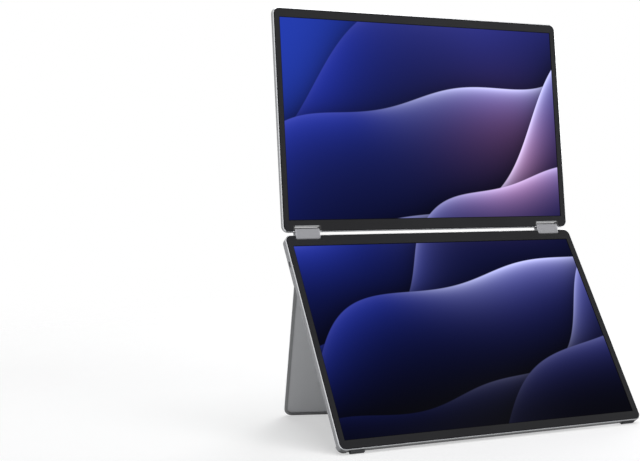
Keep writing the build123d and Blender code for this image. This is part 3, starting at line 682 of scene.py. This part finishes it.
make_stand("kickstand_plate")
make_blasted("knuckle_metal", on_both_sides("stand_knuckle"), **stand_finish)
make_links("link_metal", on_both_sides("hinge_link", "hinge_link_cap"),
           dark="#939397", light="#9d9da1", rough=0.42, metal=0.15, edge=0.25 * MM)
make_blasted("key_metal", ["power_button", "select_key"],
             dark="#a6a7aa", light="#aeafb2", rough=0.42, metal=0.3, edge=0.15 * MM, relief=0.003 * MM)

make_plastic("jog_plastic", ["jog_lever"], dark="#0e0e10", light="#1a1a1d", rough=0.45, edge=0.15 * MM)
make_plastic("rubber", on_both_sides("foot"), dark="#3c3d3f", light="#48494b", **rubber_finish)
make_plastic("grey_rubber", ["kickstand_strip"], dark="#6a6b6e", light="#77787b", **rubber_finish)
make_plastic("chip_case", ["board_chips", "driver_chips", "key_switches"],
             dark="#131315", light="#1f1f22", rough=0.5)
make_board("board_lacquer", ["main_board", "driver_board", "key_board"])

sockets = ["usb_c_socket_1", "usb_c_socket_2", "usb_c_socket_3", "mini_hdmi_socket"]
screws = ["board_screws", "driver_screws", "knuckle_screws", "lower_leaf_screws", "upper_leaf_screws"]
hinge_steel = on_both_sides("stand_pin", "lower_hinge_leaf", "upper_hinge_leaf")
gears = on_both_sides("lower_pinion", "lower_idler", "upper_idler", "upper_pinion")
make_turned("socket_shell", sockets,
            dark="#8d8f93", light="#b9bbbf", rough=0.33, edge=0.08 * MM, hollow_shade_reach=3.0 * MM)
make_turned("sheet_steel", ["lower_support_sheet", "upper_support_sheet"],
            dark="#7d8085", light="#a3a6aa", rough=0.43)
make_turned("plain_steel", [*screws, *hinge_steel, "jog_bracket"],
            dark="#77797d", light="#9c9ea2", rough=0.37)
make_turned("gear_steel", gears, dark="#86888c", light="#b0b2b6", rough=0.29)


def looking_rays(tree):
    """One for rays that see a thing straight, mirrored or through another, and zero for other rays."""
    rays = tree.nodes.new("ShaderNodeLightPath").outputs
    looking = rays["Is Camera Ray"]
    for kind in ("Is Glossy Ray", "Is Transmission Ray"):
        either = tree.nodes.new("ShaderNodeMath")
        either.operation = "MAXIMUM"
        tree.links.new(looking, either.inputs[0])
        tree.links.new(rays[kind], either.inputs[1])
        looking = either.outputs[0]
    return looking


# A pale floor that fades into the white behind it.
floor_reach = 1.6
floor_corners = 96
floor_fade = (0.35, 1.3)
floor_scale = 3.0
floor_tones = (tone("#c6c6c6"), tone("#cacaca"))
floor_rough = 0.9
floor_gloss = 0.05
floor_glow = 0.46
bpy.ops.mesh.primitive_circle_add(vertices=floor_corners, radius=floor_reach, fill_type="NGON")
floor = bpy.context.object
floor.name = "studio_floor"
paint = Shader("floor_paint")
paint.set(Base_Color=paint.mix(paint.noise(floor_scale), *floor_tones))
paint.set(Roughness=floor_rough, Specular_IOR_Level=floor_gloss)
from_middle = paint.node("ShaderNodeVectorMath", operation="LENGTH")
paint.feed(from_middle.inputs[0], paint.place)
paint.set(Alpha=paint.step(from_middle.outputs["Value"], *floor_fade, 1.0, 0.0))
paint.set(Emission_Color=tone("#ffffff"))
paint.set(Emission_Strength=paint.times(looking_rays(paint.tree), floor_glow))
floor.data.materials.append(paint.material)

# White behind the object, and an even studio light for the surfaces.
fill_tone = (0.98, 0.99, 1.0, 1.0)
fill_strength = 0.36
world = bpy.data.worlds.new("studio")
bpy.context.scene.world = world
world.use_nodes = True
tree = world.node_tree
backdrop = tree.nodes["Background"]
backdrop.inputs["Color"].default_value = tone("#ffffff")
backdrop.inputs["Strength"].default_value = 1.0
fill = tree.nodes.new("ShaderNodeBackground")
fill.inputs["Color"].default_value = fill_tone
fill.inputs["Strength"].default_value = fill_strength
choice = tree.nodes.new("ShaderNodeMixShader")
tree.links.new(looking_rays(tree), choice.inputs[0])
tree.links.new(fill.outputs[0], choice.inputs[1])
tree.links.new(backdrop.outputs[0], choice.inputs[2])
tree.links.new(choice.outputs[0], tree.nodes["World Output"].inputs["Surface"])


def soft_light(name, place, aim, size, power):
    """A square soft light at a place, turned towards a point."""
    lamp = bpy.data.lights.new(name, "AREA")
    lamp.shape = "SQUARE"
    lamp.size = size
    lamp.energy = power
    made = bpy.data.objects.new(name, lamp)
    made.location = place
    made.rotation_euler = (Vector(aim) - Vector(place)).to_track_quat("-Z", "Y").to_euler()
    made.visible_camera = False
    bpy.context.scene.collection.objects.link(made)


soft_light("key_light", place=(1.0, -1.7, 1.2), aim=(0.0, 0.0, 0.2), size=1.2, power=10.0)
soft_light("top_light", place=(0.2, 0.0, 2.2), aim=(0.0, 0.0, 0.1), size=1.6, power=21.0)
soft_light("back_light", place=(1.5, 1.5, 0.9), aim=(0.0, 0.0, 0.2), size=1.2, power=20.0)

lens = bpy.data.cameras.new("photo_camera")
lens.lens = camera_lens
lens.sensor_width = camera_sensor
camera = bpy.data.objects.new("photo_camera", lens)
camera.rotation_euler = (math.pi / 2 - camera_drop, 0.0, camera_turn)
camera.location = camera_place
bpy.context.scene.collection.objects.link(camera)
bpy.context.scene.camera = camera
bpy.context.scene.view_settings.view_transform = "Standard"
